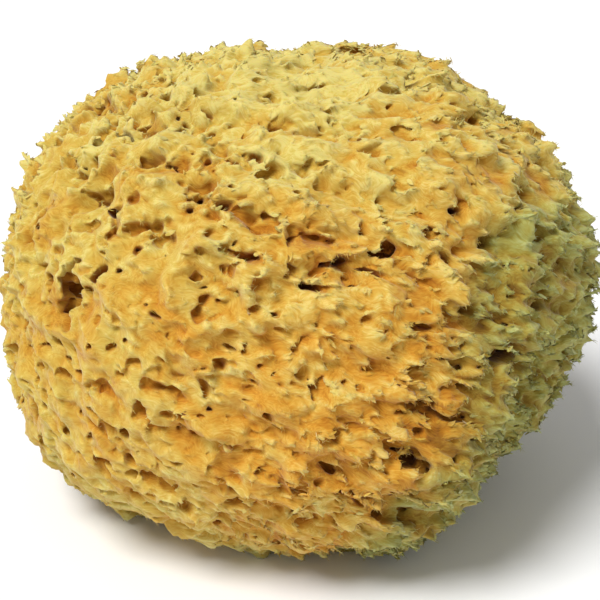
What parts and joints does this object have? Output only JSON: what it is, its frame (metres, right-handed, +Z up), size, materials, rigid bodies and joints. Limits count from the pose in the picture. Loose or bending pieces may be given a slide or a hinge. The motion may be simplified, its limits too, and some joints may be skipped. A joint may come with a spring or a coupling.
{
  "type": "sea sponge",
  "caption": "Natural sea sponge, dry and golden tan: a rounded lump with a shaggy tufted surface, round pores and canals, and a base trimmed flat.",
  "frame": {"origin": "on the trimmed base, straight below the middle of the sponge's body", "axes": "+Z up from the base, +X to the right lobe, -Y to the front with the widest pores"},
  "size_m": [0.1863, 0.1767, 0.145],
  "materials": {
    "sponge_skeleton": "matt, fibrous and porous"
  },
  "bodies": {
    "root": {"sponge": "sponge_skeleton"}
  },
  "joints": []
}
